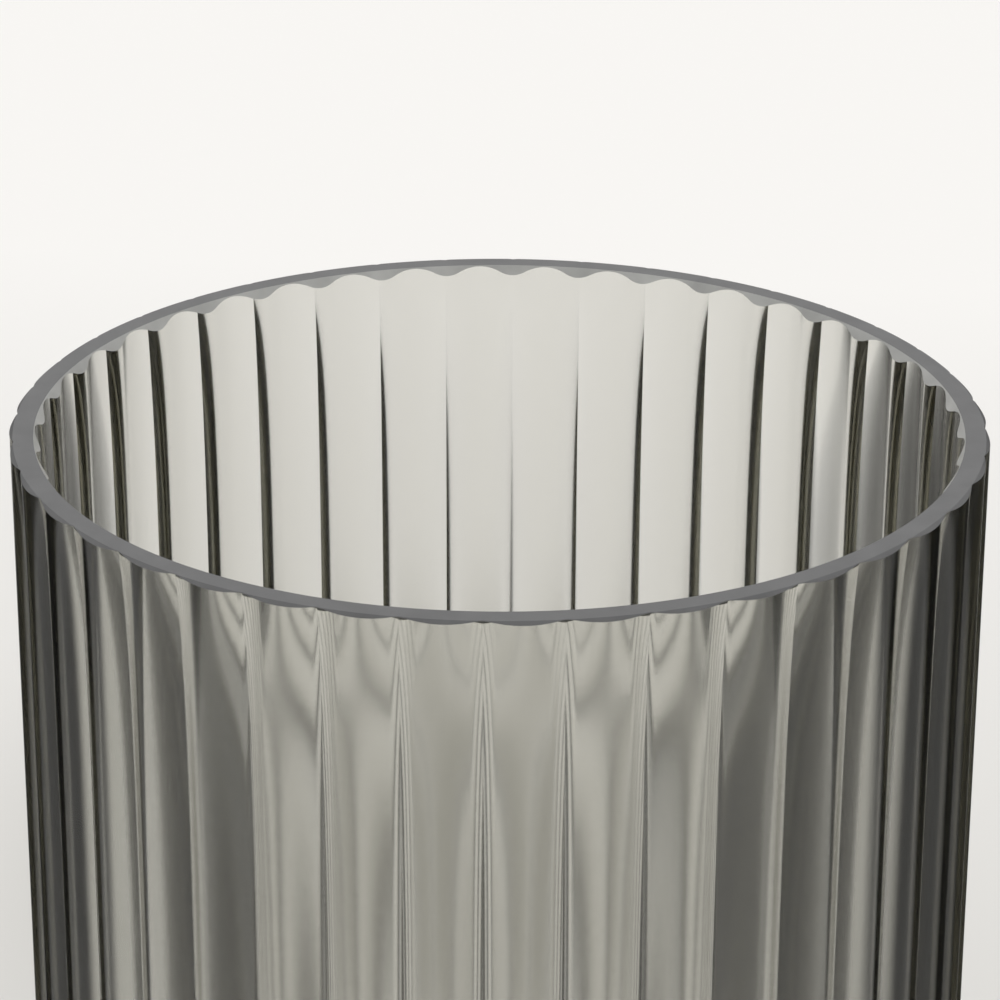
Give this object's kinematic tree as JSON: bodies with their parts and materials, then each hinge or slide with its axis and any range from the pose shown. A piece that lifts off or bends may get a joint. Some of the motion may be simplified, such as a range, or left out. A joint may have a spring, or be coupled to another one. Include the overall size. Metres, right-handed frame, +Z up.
{
  "type": "glass cylinder vase",
  "caption": "Tall straight cylinder vase of smoked grey glass, reeded outside and fluted inside, with a flat ground rim, a bonded base disc and an open top for stems and water.",
  "frame": {"origin": "centre of the underside of the base disc", "axes": "+Z up along the axis of the cylinder, towards the open rim; +X through a reed crest"},
  "size_m": [0.12, 0.12, 0.25],
  "materials": {
    "smoked_glass": "fire-polished smoked grey glass with a faint olive cast; the cut rim and its arrises are finely ground to an even satin grey",
    "clear_adhesive": "clear cured adhesive, glossy where it shows at the foot of the wall"
  },
  "bodies": {
    "root": {"reeded_wall": "smoked_glass", "base_disc": "smoked_glass", "adhesive_bond": "clear_adhesive"}
  },
  "joints": []
}
